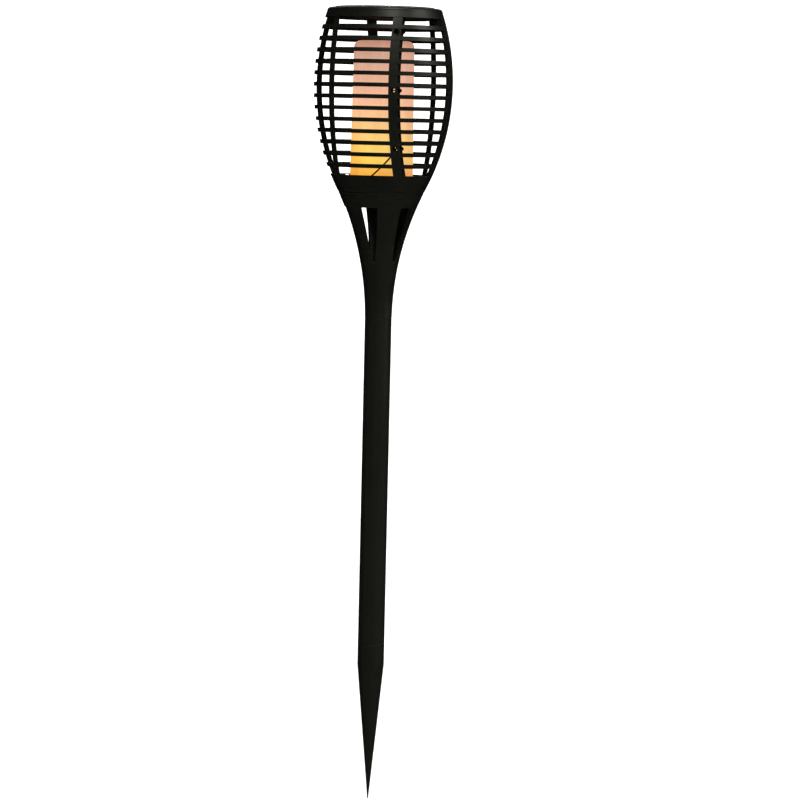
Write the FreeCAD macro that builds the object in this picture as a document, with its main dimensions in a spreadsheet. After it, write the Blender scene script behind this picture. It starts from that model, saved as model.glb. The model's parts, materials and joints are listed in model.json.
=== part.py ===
import FreeCAD, Part
import math
import os

import Sketcher

# Solar garden torch on a ground spike, in millimetres.
# The origin is the tip of the spike, +Z runs up the pole and the front of the lantern faces -Y.
# From the ground up: a spike, a pole, a flared neck with vent slots, and a barrel-shaped lantern whose
# two slatted half shells hold a frosted flame tube below a solar tray.

doc = FreeCAD.newDocument("garden_torch")

SIZES = {
    # ground spike
    "tip_radius": 0.4,
    "spike_cone_top": 125.0,
    "spike_top": 145.0,
    "spike_core_radius": 8.4,
    "spike_core_tip": 3.0,
    "spike_core_bottom": 45.0,
    # pole, and the plugs that go into its ends
    "pole_radius": 12.1,
    "pole_wall": 1.5,
    "pole_top": 442.0,
    "plug_depth": 25.0,
    "plug_wall": 2.0,
    "sliding_gap": 0.05,
    "edge_break": 0.4,
    "lead_in_depth": 0.9,
    "lead_in_length": 1.3,
    # neck
    "neck_wall": 2.0,
    "neck_bend": 265.0,
    "neck_floor": 456.0,
    "seam_height": 555.6,
    "seam_chamfer": 0.6,
    "neck_lip_radius": 37.3,
    "bead_height": 552.4,
    "bead_half_width": 0.3,
    "bead_depth": 0.6,
    "bead_step": 0.25,
    "socket_ledge": 2.8,
    "slot_bottom": 493.0,
    "slot_top": 542.0,
    "slot_width_top": 16.0,
    "slot_width_bottom": 4.2,
    "slot_corner": 1.0,
    "side_slot_turn": 67.0,
    "rear_slot_turn": 121.5,
    "socket_radius": 34.0,
    "socket_floor": 548.0,
    # lantern barrel: its side is one arc, widest at the belly
    "belly_radius": 62.3,
    "belly_height": 650.8,
    "barrel_bend": 203.0,
    "shoulder_height": 715.8,
    "rim_top": 719.0,
    "rim_round": 3.2,
    "rim_inner": 46.5,
    "slat_depth": 3.0,
    "slat_thickness": 3.6,
    "gap_base": 570.95,
    "gap_pitch": 10.19,
    "gap_count": 14,
    # upright ribs and side strips that tie the slats together
    "wide_rib_near": 24.3,
    "wide_rib_far": 31.5,
    "narrow_rib_near": 27.3,
    "narrow_rib_far": 32.4,
    "rib_recess": 0.4,
    "side_strip_left": 6.5,
    "side_strip_right": 1.8,
    "web_inset": 1.0,
    "web_depth": 8.0,
    "web_bottom": 566.0,
    # cable guides on the front right rib
    "guide_x": 27.9,
    "guide_hole": 2.0,
    "guide_blind_depth": 4.5,
    "guide_ring_wall": 1.1,
    "guide_arm_thickness": 1.65,
    "guide_arm_root": 3.5,
    "guide_arm_tip": 0.7,
    "guide_arm_reach": 14.5,
    "guide_finger": 0.55,
    "guide_finger_depth": 1.6,
    # deck, skirt and battery tube
    "deck_bottom": 561.0,
    "deck_top": 564.0,
    "deck_radius": 39.6,
    "deck_clearance": 0.25,
    "ring_wall": 1.6,
    "ring_height": 3.0,
    "ring_clearance": 0.3,
    "skirt_bottom": 548.5,
    "skirt_wall": 1.4,
    "tube_radius": 7.6,
    "tube_wall": 1.6,
    "tube_top": 606.6,
    "post_circle": 25.0,
    "post_radius": 2.6,
    "post_bottom": 550.6,
    "post_hole_depth": 8.4,
    # flame tube
    "flame_radius_bottom": 28.3,
    "flame_radius_top": 27.0,
    "flame_wall": 1.4,
    "flame_top": 690.0,
    "flame_round": 5.5,
    "former_radius": 19.0,
    "former_wall": 1.5,
    "former_top": 686.0,
    "led_columns": 12,
    "led_rows": 8,
    "led_width": 2.8,
    "led_depth": 0.9,
    "led_base": 576.0,
    "led_pitch": 14.0,
    # battery, board and switch
    "cell_radius": 7.25,
    "cell_bottom": 552.5,
    "cell_top": 603.0,
    "board_bottom": 553.4,
    "board_top": 555.0,
    "board_radius": 31.0,
    "cover_bottom": 548.6,
    "cover_top": 550.5,
    "door_bottom": 545.6,
    "door_radius": 9.0,
    "door_lip": 0.5,
    "door_plug": 1.6,
    "coin_slot_depth": 1.1,
    "contact_radius": 6.5,
    "contact_dish": 1.2,
    "contact_thickness": 0.4,
    "spring_radius": 4.5,
    "spring_pitch": 0.86,
    "spring_length": 1.95,
    "spring_wire_radius": 0.35,
    "switch_centre": 20.0,
    "switch_half_length": 4.3,
    "switch_half_width": 2.2,
    "knob_length": 2.4,
    "knob_half_width": 1.1,
    "knob_reach": 4.0,
    "knob_travel": 4.0,
    # solar cap
    "tray_bottom": 709.0,
    "tray_floor": 711.2,
    "tray_radius": 46.2,
    "tray_wall": 1.3,
    "tray_flange": 48.2,
    "tray_flange_bottom": 713.1,
    "tray_flange_top": 715.1,
    "flange_clearance": 0.2,
    "panel_side": 54.0,
    "panel_thickness": 1.6,
    "pad_thickness": 2.2,
    "strip_count": 8,
    "cover_glass_radius": 44.6,
    "cover_glass_bottom": 717.2,
    "cover_glass_round": 1.0,
    "cover_glass_top": 720.0,
    # screws that pull the half shells together
    "band_screw_x": 39.7,
    "band_screw_height": 568.0,
    "rim_screw_x": 49.3,
    "rim_screw_height": 707.2,
    "boss_radius": 2.9,
    "rim_block_bottom": 703.0,
    "boss_front": 7.0,
    "boss_back": 9.0,
    "screw_seat": 5.0,
    "screw_radius": 1.1,
    "screw_head_radius": 2.3,
    "screw_head_height": 1.85,
    "pilot_radius": 1.15,
    "head_bore": 2.5,
    "drive_width": 0.8,
    "drive_length": 3.2,
    "drive_depth": 0.8,
    # lead from the solar tray to the deck
    "lead_radius": 0.7,
    "lead_bore": 0.8,
    "grommet_neck": 1.4,
    "grommet_flange": 1.85,
    "tray_exit_x": 23.2,
    "tray_exit_y": -33.5,
    "deck_entry_x": -3.0,
    "deck_entry_y": -30.85,
}


class Size:
    """A length with its number and the spreadsheet expression that drives it."""

    def __init__(self, value, text):
        self.value = float(value)
        self.text = text

    def __add__(self, other):
        other = size(other)
        return Size(self.value + other.value, f"({self.text} + {other.text})")

    def __sub__(self, other):
        other = size(other)
        return Size(self.value - other.value, f"({self.text} - {other.text})")

    def __mul__(self, other):
        other = size(other)
        return Size(self.value * other.value, f"({self.text} * {other.text})")

    def __truediv__(self, other):
        other = size(other)
        return Size(self.value / other.value, f"({self.text} / {other.text})")

    def __neg__(self):
        return Size(-self.value, f"(0 - {self.text})")

    def __radd__(self, other):
        return size(other) + self

    def __rsub__(self, other):
        return size(other) - self

    def __rmul__(self, other):
        return size(other) * self


def size(number):
    """Wraps a plain number, so that it can stand beside the spreadsheet's sizes."""
    if isinstance(number, Size):
        return number
    return Size(number, f"{float(number):.4f}")


def root(length):
    """Square root, in the number and in the expression."""
    return Size(math.sqrt(length.value), f"sqrt({length.text})")


class Sheet:
    """Each driving dimension by its alias, such as d.pole_radius."""


def make_sheet():
    cells = doc.addObject("Spreadsheet::Sheet", "dims")
    named = Sheet()
    for row, (alias, number) in enumerate(SIZES.items(), start=1):
        cells.set(f"A{row}", alias)
        cells.set(f"B{row}", str(number))
        cells.setAlias(f"B{row}", alias)
        setattr(named, alias, Size(number, f"dims.{alias}"))
    doc.recompute()
    return named


d = make_sheet()
pieces = {}


def bind(item, path, length):
    item.setExpression(path, size(length).text)


def place(item, x=0, y=0, z=0):
    bind(item, "Placement.Base.x", x)
    bind(item, "Placement.Base.y", y)
    bind(item, "Placement.Base.z", z)


def keep(item, label):
    """Marks an object as a finished sub-part, whose label names its file."""
    item.Label = label
    pieces[label] = item
    return item


# Shapes shared by many sub-parts


def box(name, x, y, z):
    """A block between two X, two Y and two Z planes."""
    item = doc.addObject("Part::Box", name)
    bind(item, "Length", x[1] - x[0])
    bind(item, "Width", y[1] - y[0])
    bind(item, "Height", z[1] - z[0])
    place(item, x[0], y[0], z[0])
    return item


def upright_rod(name, radius, x, y, z):
    """A cylinder along Z, between the two heights in z."""
    item = doc.addObject("Part::Cylinder", name)
    bind(item, "Radius", radius)
    bind(item, "Height", z[1] - z[0])
    place(item, x, y, z[0])
    return item


def level_rod(name, radius, x, y, z):
    """A cylinder along Y, between the two places in y."""
    item = doc.addObject("Part::Cylinder", name)
    item.Placement = FreeCAD.Placement(FreeCAD.Vector(), FreeCAD.Rotation(FreeCAD.Vector(1, 0, 0), -90))
    bind(item, "Radius", radius)
    bind(item, "Height", y[1] - y[0])
    place(item, x, y[0], z)
    return item


def joined(name, parts):
    item = doc.addObject("Part::MultiFuse", name)
    item.Shapes = parts
    item.Refine = True
    return item


def overlap(name, first, second):
    item = doc.addObject("Part::Common", name)
    item.Base = first
    item.Tool = second
    return item


def cut(name, base, tools):
    """The base with every tool taken away."""
    item = doc.addObject("Part::Cut", name)
    item.Base = base
    item.Tool = tools[0] if len(tools) == 1 else bundle(f"{name}_tools", tools)
    return item


def bundle(name, parts):
    """Separate solids kept side by side in one object."""
    item = doc.addObject("Part::Compound", name)
    item.Links = parts
    return item


def origin_plane(body, role):
    for feature in body.Origin.OriginFeatures:
        if feature.Role == role:
            return feature
    raise ValueError(role)


def draw_outline(sketch, outline):
    """Draws a closed outline and binds every corner of it to the sheet.

    A corner is (across, up), or (across, up, bend, side) when an arc of radius bend leads to it from the
    corner before. The arc's centre is on the left of the way there when side is 1, on the right when -1.
    """
    corners = [(size(c[0]), size(c[1])) + tuple(c[2:]) for c in outline]
    points = [FreeCAD.Vector(c[0].value, c[1].value, 0) for c in corners]
    starts = []
    ends = []
    for index, point in enumerate(points):
        after = (index + 1) % len(points)
        target = corners[after]
        if len(target) == 2:
            edge = sketch.addGeometry(Part.LineSegment(point, points[after]), False)
            starts.append((edge, 1))
            ends.append((edge, 2))
            continue
        bend = size(target[2])
        side = target[3]
        chord = points[after] - point
        rise = math.sqrt(bend.value ** 2 - (chord.Length / 2) ** 2)
        normal = FreeCAD.Vector(-chord.y, chord.x, 0).normalize()
        centre = point + chord * 0.5 + normal * (side * rise)
        first, last = (point, points[after]) if side > 0 else (points[after], point)
        angles = [math.atan2(p.y - centre.y, p.x - centre.x) for p in (first, last)]
        circle = Part.Circle(centre, FreeCAD.Vector(0, 0, 1), bend.value)
        edge = sketch.addGeometry(Part.ArcOfCircle(circle, angles[0], angles[1]), False)
        starts.append((edge, 1 if side > 0 else 2))
        ends.append((edge, 2 if side > 0 else 1))
        fixed = sketch.addConstraint(Sketcher.Constraint("Radius", edge, bend.value))
        bind(sketch, f"Constraints[{fixed}]", bend)
    for index, corner in enumerate(corners):
        edge, point = starts[index]
        before = ends[index - 1]
        sketch.addConstraint(Sketcher.Constraint("Coincident", before[0], before[1], edge, point))
        for kind, axis, length in (("DistanceX", -2, corner[0]), ("DistanceY", -1, corner[1])):
            if length.value == 0:
                sketch.addConstraint(Sketcher.Constraint("PointOnObject", edge, point, axis))
                continue
            fixed = sketch.addConstraint(Sketcher.Constraint(kind, -1, 1, edge, point, length.value))
            bind(sketch, f"Constraints[{fixed}]", length)


def sketch_on(body, name, role, outline):
    sketch = body.newObject("Sketcher::SketchObject", name)
    sketch.AttachmentSupport = [(origin_plane(body, role), "")]
    sketch.MapMode = "FlatFace"
    draw_outline(sketch, outline)
    return sketch


def turned(name, outline, x=0, y=0):
    """A solid of revolution about Z, from an outline of (radius, height) corners."""
    body = doc.addObject("PartDesign::Body", name)
    sketch = sketch_on(body, f"{name}_outline", "XZ_Plane", outline)
    spin = body.newObject("PartDesign::Revolution", f"{name}_revolution")
    spin.Profile = sketch
    spin.ReferenceAxis = (sketch, ["V_Axis"])
    spin.Angle = 360
    sketch.Visibility = False
    place(body, x, y, 0)
    return body


def slab(name, outline, x):
    """A plate between two X planes, from an outline of (y, z) corners."""
    body = doc.addObject("PartDesign::Body", name)
    sketch = sketch_on(body, f"{name}_outline", "YZ_Plane", outline)
    pad = body.newObject("PartDesign::Pad", f"{name}_pad")
    pad.Profile = sketch
    bind(pad, "Length", x[1] - x[0])
    place(body, x[0], 0, 0)
    return body


def prism(name, outline, y):
    """A block between two Y planes, from an outline of (x, z) corners."""
    body = doc.addObject("PartDesign::Body", name)
    sketch = sketch_on(body, f"{name}_outline", "XZ_Plane", outline)
    pad = body.newObject("PartDesign::Pad", f"{name}_pad")
    pad.Profile = sketch
    bind(pad, "Length", y[1] - y[0])
    place(body, 0, y[1], 0)
    return body


def ring(name, inner, outer, bottom, top, x=0, y=0):
    """A plain round ring."""
    return turned(name, [(inner, bottom), (outer, bottom), (outer, top), (inner, top)], x, y)


# Spike, pole and neck


def ground_spike():
    """Cone with a straight collar and a plug that goes up into the pole. It is cored out from the top."""
    plug = d.pole_radius - d.pole_wall - d.sliding_gap
    top = d.spike_top + d.plug_depth
    outline = [
        (0, 0),
        (d.tip_radius, 0),
        (d.pole_radius, d.spike_cone_top),
        (d.pole_radius, d.spike_top - d.edge_break),
        (d.pole_radius - d.edge_break, d.spike_top),
        (plug, d.spike_top),
        (plug, top - d.lead_in_length),
        (plug - d.lead_in_depth, top),
        (d.spike_core_radius, top),
        (d.spike_core_tip, d.spike_core_bottom),
        (0, d.spike_core_bottom),
    ]
    keep(turned("ground_spike", outline), "ground_spike")


def pole_tube():
    """Round tube, with its outer edges broken at both ends."""
    inner = d.pole_radius - d.pole_wall
    outline = [
        (inner, d.spike_top),
        (d.pole_radius - d.edge_break, d.spike_top),
        (d.pole_radius, d.spike_top + d.edge_break),
        (d.pole_radius, d.pole_top - d.edge_break),
        (d.pole_radius - d.edge_break, d.pole_top),
        (inner, d.pole_top),
    ]
    keep(turned("pole_tube", outline), "pole_tube")


def slotted_neck():
    """Flared neck: a plug for the pole, six long vent slots, and a socket that takes the lantern's skirt."""
    plug = d.pole_radius - d.pole_wall - d.sliding_gap
    foot = d.pole_top - d.plug_depth
    start = d.pole_radius + d.sliding_gap * 2
    seam = barrel_radius(d.seam_height)
    bead = d.neck_lip_radius - d.bead_depth
    outline = [
        (plug - d.plug_wall, foot),
        (plug - d.lead_in_depth, foot),
        (plug, foot + d.lead_in_length),
        (plug, d.pole_top),
        (start - d.edge_break, d.pole_top),
        (start, d.pole_top + d.edge_break),
        (d.neck_lip_radius - d.bead_step, d.bead_height - d.bead_half_width, d.neck_bend, -1),
        (bead, d.bead_height),
        (d.neck_lip_radius, d.bead_height + d.bead_half_width),
        (seam - d.edge_break / 2, d.seam_height - d.edge_break),
        (seam - d.seam_chamfer, d.seam_height),
        (d.socket_radius, d.seam_height),
        (d.socket_radius, d.socket_floor),
        (d.socket_radius - d.socket_ledge, d.socket_floor - d.socket_ledge),
        (start - d.neck_wall, d.neck_floor, d.neck_bend, 1),
        (0, d.neck_floor),
        (0, d.neck_floor - d.neck_wall),
        (plug - d.plug_wall, d.neck_floor - d.neck_wall),
    ]
    slots = joined("neck_slots", slot_cutters(seam + 5))
    keep(cut("slotted_neck", turned("neck_blank", outline), [slots]), "slotted_neck")


def slot_cutters(reach):
    """Cutters for the six vent slots: narrow at the foot, and at a turn of their own round the neck."""
    half_top = d.slot_width_top / 2
    half_low = d.slot_width_bottom / 2
    outline = [
        (-half_top, d.slot_top - d.slot_corner, d.slot_corner, 1),
        (-half_low, d.slot_bottom + half_low),
        (half_low, d.slot_bottom + half_low, half_low + 0.01, 1),
        (half_top, d.slot_top - d.slot_corner),
        (half_top - d.slot_corner, d.slot_top, d.slot_corner, 1),
        (-half_top + d.slot_corner, d.slot_top),
    ]
    side = d.side_slot_turn.value
    rear = d.rear_slot_turn.value
    cutters = []
    for index, turn in enumerate((0, side, rear, 180, -rear, -side), start=1):
        cutter = prism(f"neck_slot_{index}", outline, (-reach, 0))
        cutter.Placement = FreeCAD.Placement(FreeCAD.Vector(), FreeCAD.Rotation(turn, 0, 0))
        cutters.append(cutter)
    return cutters


# Lantern cage: the barrel's wall is slotted into slats, and ribs and side strips tie the slats together


def barrel_radius(height):
    """Outer radius of the barrel at a height."""
    off = size(height) - d.belly_height
    return d.belly_radius - d.barrel_bend + root(d.barrel_bend * d.barrel_bend - off * off)


def front_face(x, height):
    """Y of the barrel's front at an X and a height."""
    radius = barrel_radius(height)
    return -root(radius * radius - x * x)


def rim_underside():
    """Height of the underside of the rim, which is the top of the uppermost gap."""
    return d.gap_base + d.gap_pitch * d.gap_count - d.slat_thickness


def barrel_wall():
    """The whole wall before the gaps: band, slats and rim in one turned shell."""
    seam = barrel_radius(d.seam_height)
    lip = d.seam_height + d.edge_break
    shoulder = barrel_radius(d.shoulder_height)
    underside = rim_underside()
    outline = [
        (seam - d.slat_depth, d.seam_height, d.barrel_bend, -1),
        (seam - d.seam_chamfer, d.seam_height),
        (barrel_radius(lip), lip),
        (shoulder, d.shoulder_height, d.barrel_bend, 1),
        (shoulder - d.rim_round, d.rim_top, d.rim_round, 1),
        (d.rim_inner, d.rim_top),
        (d.rim_inner, underside),
        (barrel_radius(underside) - d.slat_depth, underside),
    ]
    return turned("barrel_wall", outline)


def barrel_core(name, inset, y):
    """A full barrel, smaller than the wall's outside by inset, and moved along Y."""
    outline = [
        (barrel_radius(d.seam_height) - inset, d.seam_height),
        (barrel_radius(d.shoulder_height) - inset, d.shoulder_height, d.barrel_bend, 1),
        (0, d.shoulder_height),
        (0, d.seam_height),
    ]
    return turned(name, outline, 0, y)


def slat_gaps(reach):
    """One flat slab for each gap between two slats."""
    slabs = []
    for index in range(int(d.gap_count.value)):
        low = d.gap_base + d.gap_pitch * index
        high = low + d.gap_pitch - d.slat_thickness
        slabs.append(box(f"gap_{index + 1:02d}", (-reach, reach), (-reach, reach), (low, high)))
    return bundle("slat_gaps", slabs)


def window_columns(name, spans, height):
    """Blocks at each (x, y) span, as tall as the barrel."""
    columns = []
    for index, (x, y) in enumerate(spans, start=1):
        columns.append(box(f"{name}_{index}", x, y, height))
    return bundle(name, columns)


def front_windows(gaps, reach, height):
    """Gaps of the front half, between its two ribs and beside its side strips."""
    spans = [
        ((-reach, -d.narrow_rib_far), (-reach, -d.side_strip_left)),
        ((-d.narrow_rib_near, d.wide_rib_near), (-reach, -d.side_strip_left)),
        ((d.wide_rib_far, reach), (-reach, -d.side_strip_right)),
    ]
    return overlap("front_windows", gaps, window_columns("front_columns", spans, height))


def back_windows(gaps, reach, height):
    """Gaps of the back half. On the right they stop at a flat side wall, which keeps that side whole."""
    spans = [
        ((-reach, -d.wide_rib_far), (d.side_strip_right, reach)),
        ((-d.wide_rib_near, d.narrow_rib_near), (d.side_strip_right, reach)),
    ]
    columns = window_columns("back_columns", spans, height)
    inset = d.slat_depth + d.sliding_gap
    seam = barrel_radius(d.seam_height) - inset
    shoulder = barrel_radius(d.shoulder_height) - inset
    outline = [
        (0, d.seam_height),
        (seam, d.seam_height),
        (shoulder, d.shoulder_height, d.barrel_bend, 1),
        (0, d.shoulder_height),
    ]
    inside = prism("back_profile", outline, (0, reach))
    right = box("right_column", (d.narrow_rib_far, reach), (0, reach), height)
    beside_wall = overlap("back_right_column", inside, right)
    return overlap("back_windows", gaps, bundle("back_openings", [columns, beside_wall]))


def rib_recess(gaps, reach, height):
    """The thin layer that sets the ribs and the left side strip back between the slats."""
    near = d.narrow_rib_far + 2.5
    spans = [
        ((-near, near), (-reach, reach)),
        ((-reach, -near - 1), (-d.side_strip_left, 0)),
    ]
    outside = cut("recess_outside", window_columns("recess_columns", spans, height), [
        barrel_core("recess_core", d.rib_recess, 0),
    ])
    return overlap("rib_recess", gaps, outside)


def guide_web(reach):
    """Deep web behind the front right rib, as deep along Y at every height. It carries the cable guides."""
    behind = barrel_core("web_behind", d.web_inset, d.web_depth - d.web_inset)
    crescent = cut("web_crescent", barrel_core("web_core", d.web_inset, 0), [behind])
    height = (d.web_bottom, rim_underside() + 0.2)
    slot = box("web_slot", (d.wide_rib_near, d.wide_rib_far), (-reach, 0), height)
    return overlap("guide_web", crescent, slot)


def shell_screw_places():
    """X, height and name of each screw between the half shells: two in the band and two under the rim."""
    places = []
    for side, side_name in ((1, "right"), (-1, "left")):
        places.append((d.band_screw_x * side, d.band_screw_height, f"band_{side_name}"))
        places.append((d.rim_screw_x * side, d.rim_screw_height, f"rim_{side_name}"))
    return places


def shell_bosses():
    """Round screw bosses in the band and square ones under the rim, all across the parting plane."""
    bosses = []
    depth = (-d.boss_front, d.boss_back)
    for side, side_name in ((1, "right"), (-1, "left")):
        band_x = d.band_screw_x * side
        rim_x = d.rim_screw_x * side
        block = (rim_x - d.boss_radius, rim_x + d.boss_radius)
        upright = (d.rim_block_bottom, rim_underside() + 0.5)
        bosses.append(level_rod(f"band_boss_{side_name}", d.boss_radius, band_x, depth, d.band_screw_height))
        bosses.append(box(f"rim_boss_{side_name}", block, depth, upright))
    return bosses


GUIDES = (
    # name, height, whether the hole goes right through
    ("top", 697.0, False),
    ("middle", 645.9, True),
    ("low", 594.9, True),
)


def guide_face(height):
    """Y of the rib's face at a cable guide."""
    return front_face(d.guide_x, height) + d.rib_recess


def guide_arms():
    """An arm with a pointed end beside each guide hole, behind the rib."""
    parts = []
    right = d.wide_rib_far
    for name, height, through in GUIDES:
        root_y = guide_face(height) + d.guide_blind_depth
        tip_y = guide_face(height) + d.guide_arm_reach
        outline = [
            (root_y, height - d.guide_arm_root),
            (tip_y, height - d.guide_arm_tip),
            (tip_y, height + d.guide_arm_tip),
            (root_y, height + d.guide_arm_root),
        ]
        parts.append(slab(f"guide_arm_{name}", outline, (right - d.guide_arm_thickness, right)))
    return parts


def guide_holes():
    """The guide holes in the rib. The top one is blind."""
    holes = []
    for name, height, through in GUIDES:
        face = guide_face(height)
        depth = d.web_depth + 4 if through else d.guide_blind_depth
        holes.append(level_rod(f"guide_hole_{name}", d.guide_hole, d.guide_x, (face - 5, face + depth), height))
    return holes


def guide_trim():
    """A raised ring round the top hole, and a finger across each of the others."""
    name, height, through = GUIDES[0]
    face = guide_face(height)
    wide = d.guide_hole + d.guide_ring_wall
    outer = level_rod("guide_ring_outer", wide, d.guide_x, (face - 0.5, face + 3), height)
    inner = level_rod("guide_ring_inner", d.guide_hole, d.guide_x, (face - 1, face + 4), height)
    parts = [cut("guide_ring", outer, [inner])]
    reach = d.guide_hole + 0.6
    for name, height, through in GUIDES[1:]:
        middle = guide_face(height) + 3
        across = (d.guide_x - reach, d.guide_x + reach)
        upright = (height - d.guide_finger, height + d.guide_finger)
        parts.append(box(f"guide_finger_{name}", across, (middle, middle + d.guide_finger_depth), upright))
    return parts


def shell_bores(reach):
    """Pilot holes and counterbores for the shell screws, and the grooves that hold the deck and the tray."""
    tools = []
    pilot = (-d.boss_front + 1, d.screw_seat + 1)
    for x, height, name in shell_screw_places():
        tools.append(level_rod(f"pilot_{name}", d.pilot_radius, x, pilot, height))
        tools.append(level_rod(f"counterbore_{name}", d.head_bore, x, (d.screw_seat, reach), height))
    gap = d.deck_clearance
    deck = (d.deck_bottom - gap, d.deck_top + gap)
    tools.append(ring("deck_groove", d.deck_radius - d.slat_depth, d.deck_radius + gap, deck[0], deck[1]))
    flange = (d.tray_flange_bottom - d.flange_clearance, d.tray_flange_top + d.flange_clearance)
    tools.append(ring("tray_groove", d.rim_inner - 1, d.tray_flange + gap, flange[0], flange[1]))
    return tools


def cage():
    """Front and back half shells, which meet at the parting plane Y = 0."""
    reach = d.belly_radius + 10
    height = (d.seam_height - 5, d.rim_top + 5)
    gaps = slat_gaps(reach)
    windows = [front_windows(gaps, reach, height), back_windows(gaps, reach, height)]
    slatted = cut("slatted_wall", barrel_wall(), windows)
    ribbed = cut("ribbed_wall", slatted, [rib_recess(gaps, reach, height)])
    blank = joined("cage_blank", [ribbed, guide_web(reach)] + shell_bosses() + guide_arms())
    bored = cut("cage_bored", blank, [bundle("shell_bores", shell_bores(reach) + guide_holes())])
    whole = joined("cage_whole", [bored] + guide_trim())
    front = box("front_half", (-reach, reach), (-reach, 0), height)
    back = box("back_half", (-reach, reach), (0, reach), height)
    keep(overlap("cage_front", whole, front), "cage_front")
    keep(overlap("cage_back", whole, back), "cage_back")


def shell_screws():
    """Four screws that pull the half shells together, from the back."""
    screws = []
    for x, height, name in shell_screw_places():
        seat = d.screw_seat + 0.05
        top = seat + d.screw_head_height
        shank = level_rod(f"shell_shank_{name}", d.screw_radius, x, (-d.boss_front + 2, seat + 0.5), height)
        head = level_rod(f"shell_head_{name}", d.screw_head_radius, x, (seat, top), height)
        across = (x - d.drive_width / 2, x + d.drive_width / 2)
        upright = (height - d.drive_length / 2, height + d.drive_length / 2)
        drive = box(f"shell_drive_{name}", across, (top - d.drive_depth, top + 1), upright)
        screws.append(cut(f"shell_screw_{name}", joined(f"shell_blank_{name}", [shank, head]), [drive]))
    keep(bundle("shell_screws", screws), "shell_screws")


# Deck and what it carries


def post_places():
    """X and Y of the three posts under the deck, each as (x, y, name)."""
    places = []
    for index in range(3):
        turn = math.radians(30 + 120 * index)
        places.append((d.post_circle * math.cos(turn), d.post_circle * math.sin(turn), f"{index + 1}"))
    return places


def lamp_base():
    """Deck with a skirt that plugs into the neck, a battery tube, and rings that locate what stands on it."""
    tube = d.tube_radius + d.tube_wall
    skirt = d.socket_radius - d.sliding_gap
    flame_ring = d.flame_radius_bottom - d.flame_wall - d.ring_clearance
    former_ring = d.former_radius - d.former_wall - d.ring_clearance
    ring_top = d.deck_top + d.ring_height
    outline = [
        (d.tube_radius, d.skirt_bottom),
        (tube, d.skirt_bottom),
        (tube, d.deck_bottom),
        (skirt - d.skirt_wall, d.deck_bottom),
        (skirt - d.skirt_wall, d.skirt_bottom),
        (skirt - d.lead_in_depth, d.skirt_bottom),
        (skirt, d.skirt_bottom + d.lead_in_length),
        (skirt, d.deck_bottom),
        (d.deck_radius, d.deck_bottom),
        (d.deck_radius, d.deck_top),
        (flame_ring, d.deck_top),
        (flame_ring, ring_top),
        (flame_ring - d.ring_wall, ring_top),
        (flame_ring - d.ring_wall, d.deck_top),
        (former_ring, d.deck_top),
        (former_ring, ring_top),
        (former_ring - d.ring_wall, ring_top),
        (former_ring - d.ring_wall, d.deck_top),
        (tube, d.deck_top),
        (tube, d.tube_top),
        (0, d.tube_top),
        (0, d.tube_top - d.tube_wall),
        (d.tube_radius, d.tube_top - d.tube_wall),
    ]
    parts = [turned("lamp_base_blank", outline)]
    holes = []
    for x, y, name in post_places():
        parts.append(upright_rod(f"deck_post_{name}", d.post_radius, x, y, (d.post_bottom, d.deck_bottom)))
        hole = (d.post_bottom - 1, d.post_bottom + d.post_hole_depth)
        holes.append(upright_rod(f"post_hole_{name}", d.pilot_radius, x, y, hole))
    entry = (d.deck_bottom - 1, d.deck_top + 1)
    bore = d.grommet_neck + d.sliding_gap
    holes.append(upright_rod("lead_hole", bore, d.deck_entry_x, d.deck_entry_y, entry))
    keep(cut("lamp_base", joined("lamp_base_joined", parts), holes), "lamp_base")


def bottom_cover():
    """Disc that closes the skirt, with a hole for the battery tube and a slot for the switch."""
    play = 0.2
    tube = d.tube_radius + d.tube_wall + play
    rim = d.socket_radius - d.sliding_gap - d.skirt_wall - play
    disc = ring("cover_disc", tube, rim, d.cover_bottom, d.cover_top)
    through = (d.cover_bottom - 1, d.cover_top + 1)
    across = (-d.switch_half_length, d.switch_half_length)
    along = (-d.switch_centre - d.knob_half_width - 0.5, -d.switch_centre + d.knob_half_width + 0.5)
    holes = [box("switch_slot", across, along, through)]
    for x, y, name in post_places():
        holes.append(upright_rod(f"cover_hole_{name}", d.screw_radius + 0.3, x, y, through))
    keep(cut("bottom_cover", disc, holes), "bottom_cover")


def cover_screws():
    """Three screws through the bottom cover into the deck's posts."""
    screws = []
    for x, y, name in post_places():
        head_z = (d.cover_bottom - d.screw_head_height, d.cover_bottom)
        shank_z = (d.cover_bottom - 0.5, d.post_bottom + d.post_hole_depth - 1.5)
        shank = upright_rod(f"cover_shank_{name}", d.screw_radius, x, y, shank_z)
        head = upright_rod(f"cover_head_{name}", d.screw_head_radius, x, y, head_z)
        screws.append(joined(f"cover_screw_{name}", [shank, head]))
    keep(bundle("cover_screws", screws), "cover_screws")


def battery_cell():
    """One rechargeable AA cell, positive end up."""
    shoulder = d.cell_top - 1.0
    outline = [
        (0, d.cell_bottom),
        (d.cell_radius - 0.6, d.cell_bottom),
        (d.cell_radius, d.cell_bottom + 0.6),
        (d.cell_radius, shoulder - 0.6),
        (d.cell_radius - 0.6, shoulder),
        (2.7, shoulder),
        (2.7, d.cell_top),
        (0, d.cell_top),
    ]
    keep(turned("battery_cell", outline), "battery_cell")


def battery_contact():
    """Dished contact plate at the closed end of the battery tube."""
    low = d.cell_top + 0.1
    high = low + d.contact_dish
    middle = d.contact_radius * 0.3
    slope = d.contact_radius * 0.5
    outline = [
        (0, low),
        (middle, low),
        (slope, high),
        (d.contact_radius, high),
        (d.contact_radius, high + d.contact_thickness),
        (slope, high + d.contact_thickness),
        (middle, low + d.contact_thickness),
        (0, low + d.contact_thickness),
    ]
    keep(turned("battery_contact", outline), "battery_contact")


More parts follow.
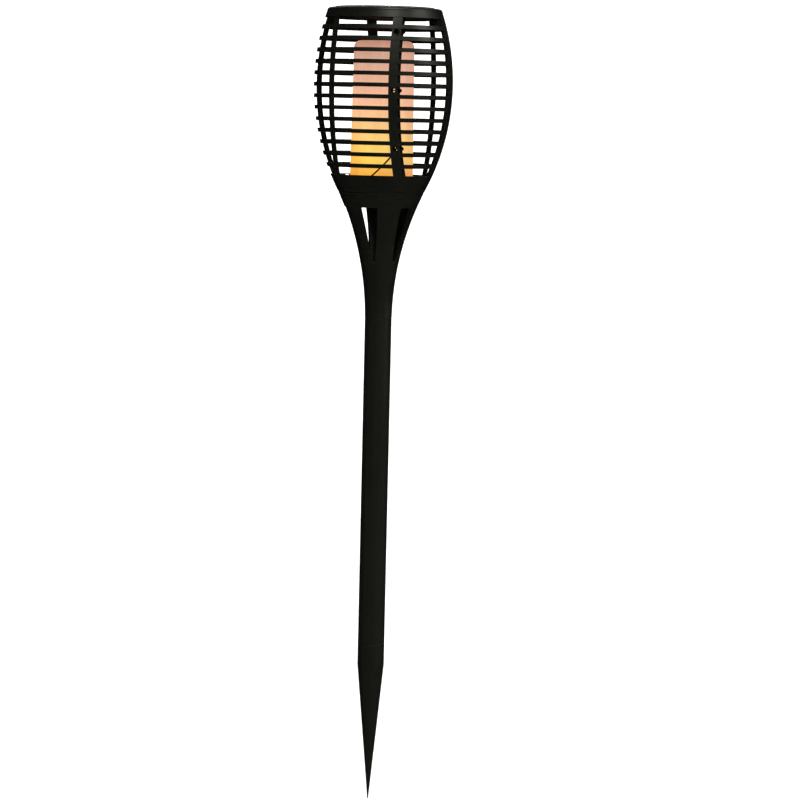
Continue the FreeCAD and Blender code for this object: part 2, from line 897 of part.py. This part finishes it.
def battery_door():
    """Round plug cap with a coin slot, its flat seal, and the spring contact that it carries."""
    plug = d.tube_radius - d.sliding_gap
    seat = d.skirt_bottom - d.door_lip
    top = seat + d.door_plug
    outline = [
        (0, d.door_bottom),
        (d.door_radius - d.edge_break * 2, d.door_bottom),
        (d.door_radius, d.door_bottom + d.edge_break * 2),
        (d.door_radius, seat),
        (plug, seat),
        (plug, top - d.edge_break),
        (plug - d.edge_break, top),
        (0, top),
    ]
    slot = box("coin_slot", (-6, 6), (-0.8, 0.8), (d.door_bottom - 1, d.door_bottom + d.coin_slot_depth))
    keep(cut("battery_door", turned("door_blank", outline), [slot]), "battery_door")
    keep(ring("door_seal", plug + 0.2, d.door_radius - 0.1, seat, d.skirt_bottom), "door_seal")
    battery_spring(top)


def battery_spring(foot):
    """Flat coil spring between the door and the cell."""
    wire = d.spring_wire_radius
    start = foot + wire + 0.02
    coil = doc.addObject("Part::Helix", "spring_path")
    bind(coil, "Radius", d.spring_radius)
    bind(coil, "Pitch", d.spring_pitch)
    bind(coil, "Height", d.spring_length)
    place(coil, 0, 0, start)
    section = doc.addObject("Part::Circle", "spring_section")
    section.Placement = FreeCAD.Placement(FreeCAD.Vector(), FreeCAD.Rotation(FreeCAD.Vector(1, 0, 0), 90))
    bind(section, "Radius", wire)
    place(section, d.spring_radius, 0, start)
    sweep = doc.addObject("Part::Sweep", "battery_spring")
    sweep.Sections = [section]
    sweep.Spine = (coil, [])
    sweep.Solid = True
    sweep.Frenet = True
    keep(sweep, "battery_spring")


CHIPS = (
    # X and Y of the corner, then width, depth and height
    (-18, 4, 5.0, 4.0, 1.6),
    (-15, -12, 3.0, 3.0, 2.4),
    (13, -8, 4.0, 5.0, 1.2),
    (14, 4, 2.4, 3.4, 1.4),
)


def control_board():
    """Round circuit board under the deck, and the parts on it."""
    plate = ring("board_blank", d.tube_radius + d.tube_wall + 1, d.board_radius, d.board_bottom, d.board_top)
    through = (d.board_bottom - 1, d.board_top + 1)
    holes = []
    for x, y, name in post_places():
        holes.append(upright_rod(f"board_hole_{name}", d.post_radius + 0.3, x, y, through))
    keep(cut("control_board", plate, holes), "control_board")
    chips = []
    for index, (x, y, wide, deep, tall) in enumerate(CHIPS, start=1):
        heights = (d.board_top, d.board_top + tall)
        chips.append(box(f"chip_{index}", (size(x), size(x + wide)), (size(y), size(y + deep)), heights))
    keep(bundle("board_parts", chips), "board_parts")


def slide_switch():
    """Slide switch under the board, and its knob, which comes out through the bottom cover."""
    middle = -d.switch_centre
    floor = d.cover_top + 0.2
    length = d.switch_half_length
    width = d.switch_half_width
    case = box("switch_case", (-length, length), (middle - width, middle + width), (floor, d.board_bottom))
    inside = length - 0.7
    track = d.knob_half_width + 0.25
    channel = box("switch_channel", (-inside, inside), (middle - track, middle + track), (floor - 1, floor + 2))
    keep(cut("switch_body", case, [channel]), "switch_body")
    start = -(d.knob_travel + d.knob_length) / 2
    along = (middle - d.knob_half_width, middle + d.knob_half_width)
    upright = (floor - d.knob_reach, floor + 1.8)
    keep(box("switch_knob", (start, start + d.knob_length), along, upright), "switch_knob")


def led_tower():
    """Former tube, the flexible board wrapped round it, and the lamps on that board."""
    inner = d.former_radius - d.former_wall
    lid = d.former_top - d.former_wall
    outline = [
        (inner, d.deck_top),
        (d.former_radius, d.deck_top),
        (d.former_radius, d.former_top),
        (0, d.former_top),
        (0, lid),
        (inner, lid),
    ]
    keep(turned("led_former", outline), "led_former")
    skin = d.former_radius + 0.1
    keep(ring("led_board", skin, skin + 0.4, d.deck_top + 6, d.former_top - 4), "led_board")
    face = (skin + 0.45).value
    lamps = []
    for column in range(int(d.led_columns.value)):
        turn = 360.0 * column / d.led_columns.value
        for row in range(int(d.led_rows.value)):
            low = d.led_base.value + d.led_pitch.value * row
            corner = FreeCAD.Vector(face, -d.led_width.value / 2, low)
            lamp = Part.makeBox(d.led_depth.value, d.led_width.value, d.led_width.value, corner)
            lamp.rotate(FreeCAD.Vector(), FreeCAD.Vector(0, 0, 1), turn)
            lamps.append(lamp)
    group = doc.addObject("Part::Feature", "leds")
    group.Shape = Part.makeCompound(lamps)
    keep(group, "leds")


def diffuser():
    """Frosted flame tube with a closed, rounded top, and the seal round its foot."""
    side = d.flame_top - d.flame_round
    bend = d.flame_round
    top_radius = d.flame_radius_top
    outline = [
        (d.flame_radius_bottom - d.flame_wall, d.deck_top),
        (d.flame_radius_bottom, d.deck_top),
        (top_radius, side),
        (top_radius - bend, d.flame_top, bend, 1),
        (0, d.flame_top),
        (0, d.flame_top - d.flame_wall),
        (top_radius - bend, d.flame_top - d.flame_wall),
        (top_radius - d.flame_wall, side, bend - d.flame_wall, -1),
    ]
    keep(turned("diffuser", outline), "diffuser")
    foot = d.flame_radius_bottom + 0.1
    keep(ring("diffuser_seal", foot, foot + 0.7, d.deck_top, d.deck_top + 1), "diffuser_seal")


# Solar cap


def solar_tray():
    """Shallow tray, held by a flange in the groove that the two half shells close round it."""
    wall = d.tray_radius - d.tray_wall
    low = d.tray_flange_bottom
    high = d.tray_flange_top
    ledge = d.cover_glass_bottom - 0.6
    outline = [
        (0, d.tray_bottom),
        (d.tray_radius, d.tray_bottom),
        (d.tray_radius, low),
        (d.tray_flange, low),
        (d.tray_flange, high),
        (d.tray_radius, high),
        (d.tray_radius, d.rim_top - 0.2),
        (wall, d.rim_top - 0.2),
        (wall, ledge),
        (wall - 1.6, ledge),
        (wall - 1.6, ledge - 1.0),
        (wall, ledge - 2.0),
        (wall, d.tray_floor),
        (0, d.tray_floor),
    ]
    blank = turned("tray_blank", outline)
    through = (d.tray_bottom - 1, d.tray_floor + 1)
    bore = d.grommet_neck + d.sliding_gap
    exit_hole = upright_rod("tray_lead_hole", bore, d.tray_exit_x, d.tray_exit_y, through)
    keep(cut("solar_tray", blank, [exit_hole]), "solar_tray")


def solar_panel():
    """Foam pad, panel and silicon strips, one on the other in the tray."""
    half = d.panel_side / 2
    pad_top = d.tray_floor + d.pad_thickness
    panel_top = pad_top + d.panel_thickness
    inset = half - 2
    keep(box("panel_pad", (-inset, inset), (-inset, inset), (d.tray_floor, pad_top)), "panel_pad")
    keep(box("solar_panel", (-half, half), (-half, half), (pad_top, panel_top)), "solar_panel")
    pitch = (d.panel_side - 3) / d.strip_count
    strips = []
    for index in range(int(d.strip_count.value)):
        left = pitch * index - half + 1.8
        name = f"strip_{index + 1}"
        strips.append(box(name, (left, left + pitch - 0.6), (-inset, inset), (panel_top, panel_top + 0.3)))
    keep(bundle("solar_strips", strips), "solar_strips")


def panel_cover():
    """Clear cover over the panel, with a rounded edge, and the ring that seals it."""
    edge = d.cover_glass_round
    outline = [
        (0, d.cover_glass_bottom),
        (d.cover_glass_radius, d.cover_glass_bottom),
        (d.cover_glass_radius, d.cover_glass_top - edge),
        (d.cover_glass_radius - edge, d.cover_glass_top, edge, 1),
        (0, d.cover_glass_top),
    ]
    keep(turned("panel_cover", outline), "panel_cover")
    wall = d.tray_radius - d.tray_wall
    low = d.cover_glass_bottom - 0.6
    keep(ring("cover_seal", wall - 1.5, wall - 0.3, low, d.cover_glass_bottom), "cover_seal")


# Lead from the tray to the deck


def grommet(name, x, y, neck, flange):
    """Rubber grommet with a bore for the lead: neck is its end and its root, flange the outer face."""
    outline = [
        (d.lead_bore, neck[0]),
        (d.grommet_neck, neck[0]),
        (d.grommet_neck, neck[1]),
        (d.grommet_flange, neck[1]),
        (d.grommet_flange, flange),
        (d.lead_bore, flange),
    ]
    keep(turned(name, outline, x, y), name)


def grommets():
    """One grommet under the tray, and one on top of the deck."""
    tray = d.tray_bottom
    grommet("tray_grommet", d.tray_exit_x, d.tray_exit_y, (d.tray_floor, tray), tray - 1)
    deck = d.deck_top
    grommet("deck_grommet", d.deck_entry_x, d.deck_entry_y, (d.deck_bottom - 0.8, deck), deck + 1)


def lead_route():
    """Points of the lead: down from the tray, along the inside of the rib, then across to the deck."""
    tray_x = d.tray_exit_x.value
    tray_y = d.tray_exit_y.value
    deck_x = d.deck_entry_x.value
    deck_y = d.deck_entry_y.value
    return [
        FreeCAD.Vector(tray_x, tray_y, d.tray_floor.value - 0.2),
        FreeCAD.Vector(tray_x, tray_y, 702.0),
        FreeCAD.Vector(27.6, -42.7, 688.0),
        FreeCAD.Vector(27.9, -45.8, 668.0),
        FreeCAD.Vector(27.9, -46.6, 647.0),
        FreeCAD.Vector(27.9, -44.8, 625.0),
        FreeCAD.Vector(27.9, -41.1, 606.0),
        FreeCAD.Vector(27.0, -37.4, 594.2),
        FreeCAD.Vector(16.0, -34.5, 582.6),
        FreeCAD.Vector(2.8, -33.2, 570.6),
        FreeCAD.Vector(deck_x, deck_y, 568.0),
        FreeCAD.Vector(deck_x, deck_y, 556.0),
    ]


def panel_lead():
    """The lead as a tube: straight runs joined by tangent arcs."""
    points = lead_route()
    edges = []
    start = points[0]
    length = 0.0
    for index in range(1, len(points) - 1):
        before = points[index - 1]
        corner = points[index]
        after = points[index + 1]
        into = corner - before
        out = after - corner
        shorter = min(into.Length, out.Length)
        turn = into.getAngle(out)
        setback = 0.45 * shorter
        radius = setback / math.tan(turn / 2)
        first = corner - into.normalize() * setback
        last = corner + out.normalize() * setback
        centre = corner + (first + last - corner * 2).normalize() * (radius / math.cos(turn / 2))
        middle = centre + (corner - centre).normalize() * radius
        edges.append(Part.LineSegment(start, first).toShape())
        edges.append(Part.Arc(first, middle, last).toShape())
        length += (first - start).Length + radius * turn
        start = last
        print(f"lead bend {index}: radius {radius:.1f}, turn {math.degrees(turn):.1f} degrees")
    edges.append(Part.LineSegment(start, points[-1]).toShape())
    length += (points[-1] - start).Length
    path = Part.Wire(edges)
    direction = points[1] - points[0]
    circle = Part.Wire(Part.Circle(points[0], direction, d.lead_radius.value).toShape())
    tube = path.makePipeShell([circle], True, False)
    expected = math.pi * d.lead_radius.value ** 2 * length
    print(f"lead length {length:.1f}, volume {tube.Volume:.1f}, expected {expected:.1f}")
    item = doc.addObject("Part::Feature", "panel_lead")
    item.Shape = tube
    keep(item, "panel_lead")


def build():
    ground_spike()
    pole_tube()
    slotted_neck()
    cage()
    shell_screws()
    lamp_base()
    bottom_cover()
    cover_screws()
    battery_cell()
    battery_contact()
    battery_door()
    control_board()
    slide_switch()
    led_tower()
    diffuser()
    solar_tray()
    solar_panel()
    panel_cover()
    grommets()
    panel_lead()
    doc.recompute()


def check_and_export():
    """Stops on any failed object or bad shape, then writes one STEP file for each sub-part."""
    for item in doc.Objects:
        if "Invalid" in item.State or "Error" in item.State:
            raise RuntimeError(f"{item.Name} failed: {item.State}")
    for label, item in pieces.items():
        if item.Shape.isNull() or not item.Shape.isValid() or item.Shape.Volume <= 0:
            raise RuntimeError(f"{label} has a bad shape")
    os.makedirs("parts", exist_ok=True)
    for label, item in pieces.items():
        item.Shape.exportStep(f"parts/{label}.step")
        print(f"{label}: {len(item.Shape.Solids)} solids, {item.Shape.Volume / 1000:.2f} cm3")


build()
check_and_export()
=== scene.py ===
import json
import math

import bmesh
import bpy
from mathutils import Matrix, Vector


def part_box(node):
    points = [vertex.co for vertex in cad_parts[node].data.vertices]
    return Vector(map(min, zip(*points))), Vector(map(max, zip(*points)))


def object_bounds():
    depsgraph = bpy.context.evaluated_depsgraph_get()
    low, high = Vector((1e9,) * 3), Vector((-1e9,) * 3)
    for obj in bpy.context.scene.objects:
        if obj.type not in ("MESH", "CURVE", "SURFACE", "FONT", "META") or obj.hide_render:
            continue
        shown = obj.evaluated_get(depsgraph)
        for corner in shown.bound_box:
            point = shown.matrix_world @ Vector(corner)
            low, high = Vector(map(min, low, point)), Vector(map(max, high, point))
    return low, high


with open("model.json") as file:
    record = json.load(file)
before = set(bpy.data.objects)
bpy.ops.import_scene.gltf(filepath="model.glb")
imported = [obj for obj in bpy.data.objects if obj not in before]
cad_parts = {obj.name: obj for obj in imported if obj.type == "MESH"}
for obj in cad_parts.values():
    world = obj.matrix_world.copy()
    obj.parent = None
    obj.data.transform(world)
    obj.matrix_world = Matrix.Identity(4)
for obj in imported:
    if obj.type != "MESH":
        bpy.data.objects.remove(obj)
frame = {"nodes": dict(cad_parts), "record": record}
cad_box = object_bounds()
HEIGHT = cad_box[1].z
MM = 0.001

# Camera, in the frame's terms: it stands a little to the right of the front, level with the middle of the
# flame tube, and it is tipped down and rolled by a small amount.
CAMERA_AZIMUTH = math.radians(18.75)
CAMERA_DISTANCE = 3.5 * HEIGHT
CAMERA_HEIGHT = 0.8736 * HEIGHT
CAMERA_SIDESTEP = 0.0296 * HEIGHT
CAMERA_PITCH = math.radians(5.91)
CAMERA_ROLL = math.radians(1.32)
CAMERA_LENS = 126.0

# Studio, in metres
FLOOR_RADIUS = 9.0
WALL_RADIUS = 8.9
WALL_HEIGHT = 2.4
STUDIO_SEGMENTS = 96

# Tones of the black plastic, scene-linear, from its darker to its paler patches
SHELL_DARK = (0.0036, 0.0039, 0.0026, 1)
SHELL_LIGHT = (0.0056, 0.0059, 0.0042, 1)
POLE_DARK = (0.0036, 0.0039, 0.0026, 1)
POLE_LIGHT = (0.0052, 0.0055, 0.0038, 1)
POLE_LINES = (0.0075, 0.0080, 0.0058, 1)
INNER_DARK = (0.006, 0.006, 0.005, 1)
INNER_LIGHT = (0.01, 0.01, 0.009, 1)
BLACK_SHEEN = (1.0, 0.98, 0.86, 1)
FINGER_PITCH = 1.8 * MM


def linear(red, green, blue):
    """A colour given as it looks on a screen, 0 to 255, as scene-linear numbers with alpha."""
    values = []
    for level in (red, green, blue):
        share = level / 255
        values.append(share / 12.92 if share <= 0.04045 else ((share + 0.055) / 1.055) ** 2.4)
    return (*values, 1.0)


class Paint:
    """A node material being built: a Principled shader and the nodes that feed it."""

    def __init__(self, name, **sockets):
        self.material = bpy.data.materials.new(name)
        self.material.use_nodes = True
        self.tree = self.material.node_tree
        self.shader = self.tree.nodes["Principled BSDF"]
        self.place = None
        for socket, value in sockets.items():
            self.shader.inputs[socket.replace("_", " ")].default_value = value

    def node(self, kind, **inputs):
        made = self.tree.nodes.new(kind)
        for socket, value in inputs.items():
            self.feed(made.inputs[socket.replace("_", " ")], value)
        return made

    def feed(self, socket, value):
        if isinstance(value, bpy.types.NodeSocket):
            self.tree.links.new(value, socket)
        else:
            socket.default_value = value

    def where(self, stretch=(1, 1, 1)):
        """The point on the object, in metres, with each axis scaled."""
        if self.place is None:
            self.place = self.node("ShaderNodeTexCoord").outputs["Object"]
        mapped = self.node("ShaderNodeMapping", Vector=self.place, Scale=stretch)
        return mapped.outputs["Vector"]

    def noise(self, scale, detail=4.0, rough=0.55, stretch=(1, 1, 1)):
        made = self.node("ShaderNodeTexNoise", Vector=self.where(stretch), Scale=scale, Detail=detail)
        made.inputs["Roughness"].default_value = rough
        return made.outputs["Fac"]

    def ramp(self, value, stops):
        """Colours at positions 0 to 1 of a value."""
        made = self.node("ShaderNodeValToRGB", Fac=value)
        band = made.color_ramp
        while len(band.elements) < len(stops):
            band.elements.new(0.5)
        for element, (position, colour) in zip(band.elements, stops):
            element.position = position
            element.color = colour
        return made.outputs["Color"]

    def spread(self, value, low, high, start=0.3, end=0.7):
        """A value from one range carried to another."""
        made = self.node("ShaderNodeMapRange", Value=value)
        made.inputs["From Min"].default_value = start
        made.inputs["From Max"].default_value = end
        made.inputs["To Min"].default_value = low
        made.inputs["To Max"].default_value = high
        return made.outputs["Result"]

    def math(self, kind, first, second=0.0):
        made = self.tree.nodes.new("ShaderNodeMath")
        made.operation = kind
        self.feed(made.inputs[0], first)
        self.feed(made.inputs[1], second)
        return made.outputs["Value"]

    def mix(self, share, first, second):
        made = self.tree.nodes.new("ShaderNodeMix")
        made.data_type = "RGBA"
        self.feed(made.inputs["Factor"], share)
        self.feed(made.inputs["A"], first)
        self.feed(made.inputs["B"], second)
        return made.outputs["Result"]

    def bump(self, height, strength, distance):
        made = self.node("ShaderNodeBump", Height=height, Strength=strength, Distance=distance)
        if self.shader.inputs["Normal"].is_linked:
            self.tree.links.new(self.shader.inputs["Normal"].links[0].from_socket, made.inputs["Normal"])
        self.tree.links.new(made.outputs["Normal"], self.shader.inputs["Normal"])

    def colour(self, value):
        self.feed(self.shader.inputs["Base Color"], value)

    def roughness(self, value):
        self.feed(self.shader.inputs["Roughness"], value)

    def edges(self, radius):
        """1 on an edge and 0 on a flat: how far the rounded normal leans from the true one."""
        rounded = self.tree.nodes.new("ShaderNodeBevel")
        rounded.samples = 4
        rounded.inputs["Radius"].default_value = radius
        flat = self.node("ShaderNodeNewGeometry").outputs["Normal"]
        lean = self.tree.nodes.new("ShaderNodeVectorMath")
        lean.operation = "DOT_PRODUCT"
        self.tree.links.new(rounded.outputs["Normal"], lean.inputs[0])
        self.tree.links.new(flat, lean.inputs[1])
        return self.spread(lean.outputs["Value"], 1.0, 0.0, 0.80, 0.995)


def moulded_black(name, dark, light, gloss, grain=1500.0):
    """Satin black moulding: fine grain, slow patches of tone, and paler edges that are partly rubbed wear
    and partly a painted highlight.
    """
    paint = Paint(name, Specular_IOR_Level=0.25, Specular_Tint=BLACK_SHEEN)
    patches = paint.noise(28.0, 5.0)
    tone = paint.ramp(patches, [(0.32, dark), (0.72, light)])
    dust = paint.spread(paint.noise(260.0, 6.0, 0.7), 0.0, 0.35, 0.52, 0.78)
    dusty = paint.mix(dust, tone, [channel * 1.7 for channel in light[:3]] + [1.0])
    # Painted highlight with some wear: edges are lightened in the base colour, partly as rubbed wear and
    # partly standing in for light catching the edges.
    wear_and_highlight = paint.math("MULTIPLY", paint.edges(0.5 * MM), paint.spread(paint.noise(120.0), 0.1, 0.6))
    paint.colour(paint.mix(wear_and_highlight, dusty, [channel * 3.2 for channel in light[:3]] + [1.0]))
    paint.roughness(paint.spread(paint.noise(75.0, 5.0), gloss - 0.05, gloss + 0.08))
    paint.bump(paint.noise(grain, 3.0, 0.6), 0.22, 0.06 * MM)
    paint.bump(paint.noise(45.0, 2.0), 0.10, 0.25 * MM)
    return paint.material


def extruded_black():
    """The pole: the same plastic, with faint draw lines along its length."""
    paint = Paint("pole_plastic", Specular_IOR_Level=0.20, Specular_Tint=BLACK_SHEEN)
    lines = paint.noise(1.0, 3.0, 0.6, (900, 900, 5))
    patches = paint.noise(22.0, 5.0)
    tone = paint.ramp(patches, [(0.3, POLE_DARK), (0.75, POLE_LIGHT)])
    paint.colour(paint.mix(paint.spread(lines, 0.0, 0.35, 0.45, 0.7), tone, POLE_LINES))
    paint.roughness(paint.spread(lines, 0.36, 0.47))
    paint.bump(lines, 0.12, 0.05 * MM)
    paint.bump(paint.noise(1300.0, 3.0), 0.12, 0.05 * MM)
    return paint.material


def flame_glow():
    """Frosted tube lit from inside: amber at the foot, peach in the middle, pink at the top and right."""
    low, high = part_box("diffuser")
    paint = Paint("flame_glow", Roughness=0.5, Specular_IOR_Level=0.3)
    place = paint.where()
    split = paint.node("ShaderNodeSeparateXYZ", Vector=place)
    waver = paint.spread(paint.noise(1.0, 4.0, 0.6, (40, 40, 14)), -0.05, 0.05)
    rise = paint.spread(split.outputs["Z"], 0.0, 1.0, low.z, high.z)
    stops = [
        (0.04, linear(248, 164, 46)),
        (0.15, linear(253, 206, 74)),
        (0.27, linear(253, 208, 98)),
        (0.42, linear(248, 196, 130)),
        (0.56, linear(245, 184, 144)),
        (0.72, linear(226, 170, 140)),
        (0.88, linear(206, 160, 136)),
        (0.98, linear(192, 138, 116)),
    ]
    amber = paint.ramp(paint.math("ADD", rise, waver), stops)
    aside = paint.spread(split.outputs["X"], 0.0, 0.40, 4 * MM, 30 * MM)
    cooler = paint.mix(aside, amber, linear(206, 146, 122))
    left_edge = paint.spread(split.outputs["X"], 1.0, 0.0, -28 * MM, -8 * MM)
    foot = paint.spread(rise, 0.75, 0.0, 0.0, 0.5)
    glow = paint.mix(paint.math("MULTIPLY", left_edge, foot), cooler, linear(244, 136, 44))
    streak = paint.spread(paint.noise(1.0, 5.0, 0.65, (170, 170, 30)), 0.90, 1.07)
    specks = paint.spread(paint.noise(420.0, 3.0), 0.975, 1.02)
    paint.feed(paint.shader.inputs["Emission Color"], glow)
    paint.feed(paint.shader.inputs["Emission Strength"], paint.math("MULTIPLY", streak, specks))
    paint.colour((0.16, 0.11, 0.09, 1))
    paint.bump(paint.noise(900.0, 3.0), 0.15, 0.05 * MM)
    return paint.material


def rubber(name, tone):
    """Matt rubber, sheath or foam: slightly uneven in tone, with a fine grain."""
    paint = Paint(name, Specular_IOR_Level=0.25)
    paint.colour(paint.ramp(paint.noise(300.0), [(0.3, tone), (0.7, [c * 1.6 for c in tone[:3]] + [1.0])]))
    paint.roughness(paint.spread(paint.noise(500.0), 0.6, 0.8))
    paint.bump(paint.noise(1600.0), 0.25, 0.05 * MM)
    return paint.material


def metal(name, tone, gloss):
    """Plated steel with fine brushing along its height."""
    paint = Paint(name, Metallic=1.0)
    brushed = paint.noise(1.0, 4.0, 0.6, (2500, 2500, 60))
    paint.colour(paint.ramp(brushed, [(0.3, [c * 0.8 for c in tone[:3]] + [1.0]), (0.7, tone)]))
    paint.roughness(paint.spread(brushed, gloss - 0.06, gloss + 0.12))
    paint.bump(brushed, 0.1, 0.03 * MM)
    return paint.material


def plain_plastic(name, tone, gloss):
    """Moulded plastic of one colour, with slow patches and a fine grain."""
    paint = Paint(name, Specular_IOR_Level=0.4)
    paint.colour(paint.ramp(paint.noise(60.0), [(0.3, [c * 0.85 for c in tone[:3]] + [1.0]), (0.7, tone)]))
    paint.roughness(paint.spread(paint.noise(120.0), gloss - 0.05, gloss + 0.1))
    paint.bump(paint.noise(1200.0), 0.12, 0.04 * MM)
    return paint.material


def circuit_board():
    """Green solder mask with a pattern of tracks under it."""
    paint = Paint("circuit_board", Roughness=0.4)
    cells = paint.node("ShaderNodeTexVoronoi", Vector=paint.where(), Scale=260.0)
    cells.feature = "DISTANCE_TO_EDGE"
    tracks = paint.spread(cells.outputs["Distance"], 1.0, 0.0, 0.05, 0.12)
    paint.colour(paint.mix(tracks, (0.012, 0.075, 0.028, 1), (0.03, 0.17, 0.06, 1)))
    paint.bump(tracks, 0.2, 0.05 * MM)
    return paint.material


def silicon():
    """Blue-black solar strips with thin silver fingers across them."""
    paint = Paint("silicon_strip", Roughness=0.28)
    split = paint.node("ShaderNodeSeparateXYZ", Vector=paint.where())
    wave = paint.math("SINE", paint.math("MULTIPLY", split.outputs["Y"], 2 * math.pi / FINGER_PITCH))
    fingers = paint.spread(wave, 0.0, 1.0, 0.94, 0.985)
    flakes = paint.node("ShaderNodeTexVoronoi", Vector=paint.where(), Scale=190.0)
    blues = [(0.1, (0.004, 0.008, 0.035, 1)), (0.9, (0.01, 0.02, 0.09, 1))]
    tone = paint.ramp(flakes.outputs["Distance"], blues)
    paint.colour(paint.mix(fingers, tone, (0.4, 0.42, 0.45, 1)))
    return paint.material


def clear_cover():
    """Clear cover over the solar panel, faintly uneven."""
    paint = Paint("clear_cover", Transmission_Weight=1.0, IOR=1.49)
    paint.colour((0.93, 0.97, 0.98, 1))
    paint.roughness(paint.spread(paint.noise(90.0, 5.0), 0.02, 0.09))
    paint.bump(paint.noise(30.0), 0.05, 0.1 * MM)
    return paint.material


def finishes():
    """One material for each slot of the record."""
    return {
        "black_shell": moulded_black("shell_plastic", SHELL_DARK, SHELL_LIGHT, 0.40),
        "black_pole": extruded_black(),
        "inner_black": moulded_black("inner_plastic", INNER_DARK, INNER_LIGHT, 0.55),
        "frosted_diffuser": flame_glow(),
        "white_plastic": plain_plastic("white_plastic", (0.75, 0.73, 0.68, 1), 0.45),
        "circuit_board": circuit_board(),
        "chip_black": plain_plastic("chip_black", (0.02, 0.02, 0.022, 1), 0.5),
        "led_lens": plain_plastic("led_lens", (0.85, 0.65, 0.25, 1), 0.2),
        "steel": metal("steel", (0.6, 0.6, 0.58, 1), 0.35),
        "contact_metal": metal("contact_metal", (0.7, 0.68, 0.62, 1), 0.25),
        "cell_wrap": plain_plastic("cell_wrap", (0.02, 0.2, 0.06, 1), 0.3),
        "rubber_black": rubber("rubber_black", (0.008, 0.008, 0.008, 1)),
        "lead_sheath": rubber("lead_sheath", (0.012, 0.004, 0.003, 1)),
        "foam_grey": rubber("foam_grey", (0.06, 0.06, 0.065, 1)),
        "silicon_panel": plain_plastic("silicon_panel", (0.012, 0.014, 0.03, 1), 0.3),
        "silicon_strip": silicon(),
        "clear_cover": clear_cover(),
    }


def dress_nodes():
    """Gives every CAD node the finish of its slot. The lit tube is kept out of reflections."""
    paints = finishes()
    slots = {part["node"]: part["material_slot"] for part in frame["record"]["subparts"]}
    for name, piece in frame["nodes"].items():
        piece.data.materials.clear()
        piece.data.materials.append(paints[slots[name]])
        piece.data.polygons.foreach_set("material_index", [0] * len(piece.data.polygons))
    frame["nodes"]["diffuser"].visible_glossy = False


def stage_floor():
    """A plain white floor, and a low pale wall all round that carries it up past eye level."""
    paint = Paint("pale_floor", Roughness=0.9, Specular_IOR_Level=0.1, Emission_Strength=0.30)
    paint.colour((0.86, 0.86, 0.86, 1))
    paint.shader.inputs["Emission Color"].default_value = (1, 1, 1, 1)
    mesh = bmesh.new()
    bmesh.ops.create_circle(mesh, cap_ends=True, segments=STUDIO_SEGMENTS, radius=FLOOR_RADIUS)
    data = bpy.data.meshes.new("floor")
    mesh.to_mesh(data)
    mesh.free()
    floor = bpy.data.objects.new("floor", data)
    floor.visible_glossy = False
    data.materials.append(paint.material)
    bpy.context.scene.collection.objects.link(floor)

    glow = Paint("pale_wall", Roughness=1.0, Specular_IOR_Level=0.0, Emission_Strength=0.9)
    glow.colour((0.5, 0.5, 0.5, 1))
    glow.shader.inputs["Emission Color"].default_value = (1, 1, 1, 1)
    mesh = bmesh.new()
    size = {"radius1": WALL_RADIUS, "radius2": WALL_RADIUS, "depth": WALL_HEIGHT}
    bmesh.ops.create_cone(mesh, cap_ends=False, segments=STUDIO_SEGMENTS, **size)
    bmesh.ops.translate(mesh, verts=mesh.verts, vec=(0, 0, WALL_HEIGHT / 2))
    data = bpy.data.meshes.new("backdrop")
    mesh.to_mesh(data)
    mesh.free()
    wall = bpy.data.objects.new("backdrop", data)
    wall.visible_glossy = False
    data.materials.append(glow.material)
    bpy.context.scene.collection.objects.link(wall)


def sun(name, azimuth, elevation, strength, spread, colour=(1, 1, 1)):
    """A broad, soft light from far off. Azimuth 0 is from the front and 90 from the right."""
    lamp = bpy.data.lights.new(name, "SUN")
    lamp.energy = strength
    lamp.angle = math.radians(spread)
    lamp.color = colour
    made = bpy.data.objects.new(name, lamp)
    a = math.radians(azimuth)
    e = math.radians(elevation)
    towards = Vector((math.sin(a) * math.cos(e), -math.cos(a) * math.cos(e), math.sin(e)))
    made.rotation_mode = "QUATERNION"
    made.rotation_quaternion = towards.to_track_quat("Z", "Y")
    bpy.context.scene.collection.objects.link(made)


def lights():
    sun("key_light", 98, 24, 1.3, 30)
    sun("top_light", 38, 54, 3.1, 26)
    sun("back_light", 205, 40, 0.5, 50)
    world = bpy.data.worlds.new("studio")
    world.use_nodes = True
    world.node_tree.nodes["Background"].inputs["Color"].default_value = (1, 1, 1, 1)
    world.node_tree.nodes["Background"].inputs["Strength"].default_value = 0.18
    world.cycles_visibility.glossy = False
    bpy.context.scene.world = world


def camera():
    data = bpy.data.cameras.new("camera")
    data.lens = CAMERA_LENS
    data.sensor_width = 36.0
    data.clip_start = 0.05
    data.clip_end = 60.0
    made = bpy.data.objects.new("camera", data)
    turn = Matrix.Rotation(CAMERA_AZIMUTH, 4, "Z")
    place = turn @ Vector((CAMERA_SIDESTEP, -CAMERA_DISTANCE, CAMERA_HEIGHT))
    tilt = Matrix.Rotation(math.pi / 2 - CAMERA_PITCH, 4, "X")
    roll = Matrix.Rotation(CAMERA_ROLL, 4, "Z")
    made.matrix_world = Matrix.Translation(place) @ turn @ tilt @ roll
    bpy.context.scene.collection.objects.link(made)
    bpy.context.scene.camera = made


camera()
stage_floor()
lights()
dress_nodes()
bpy.context.scene.view_settings.view_transform = "Standard"
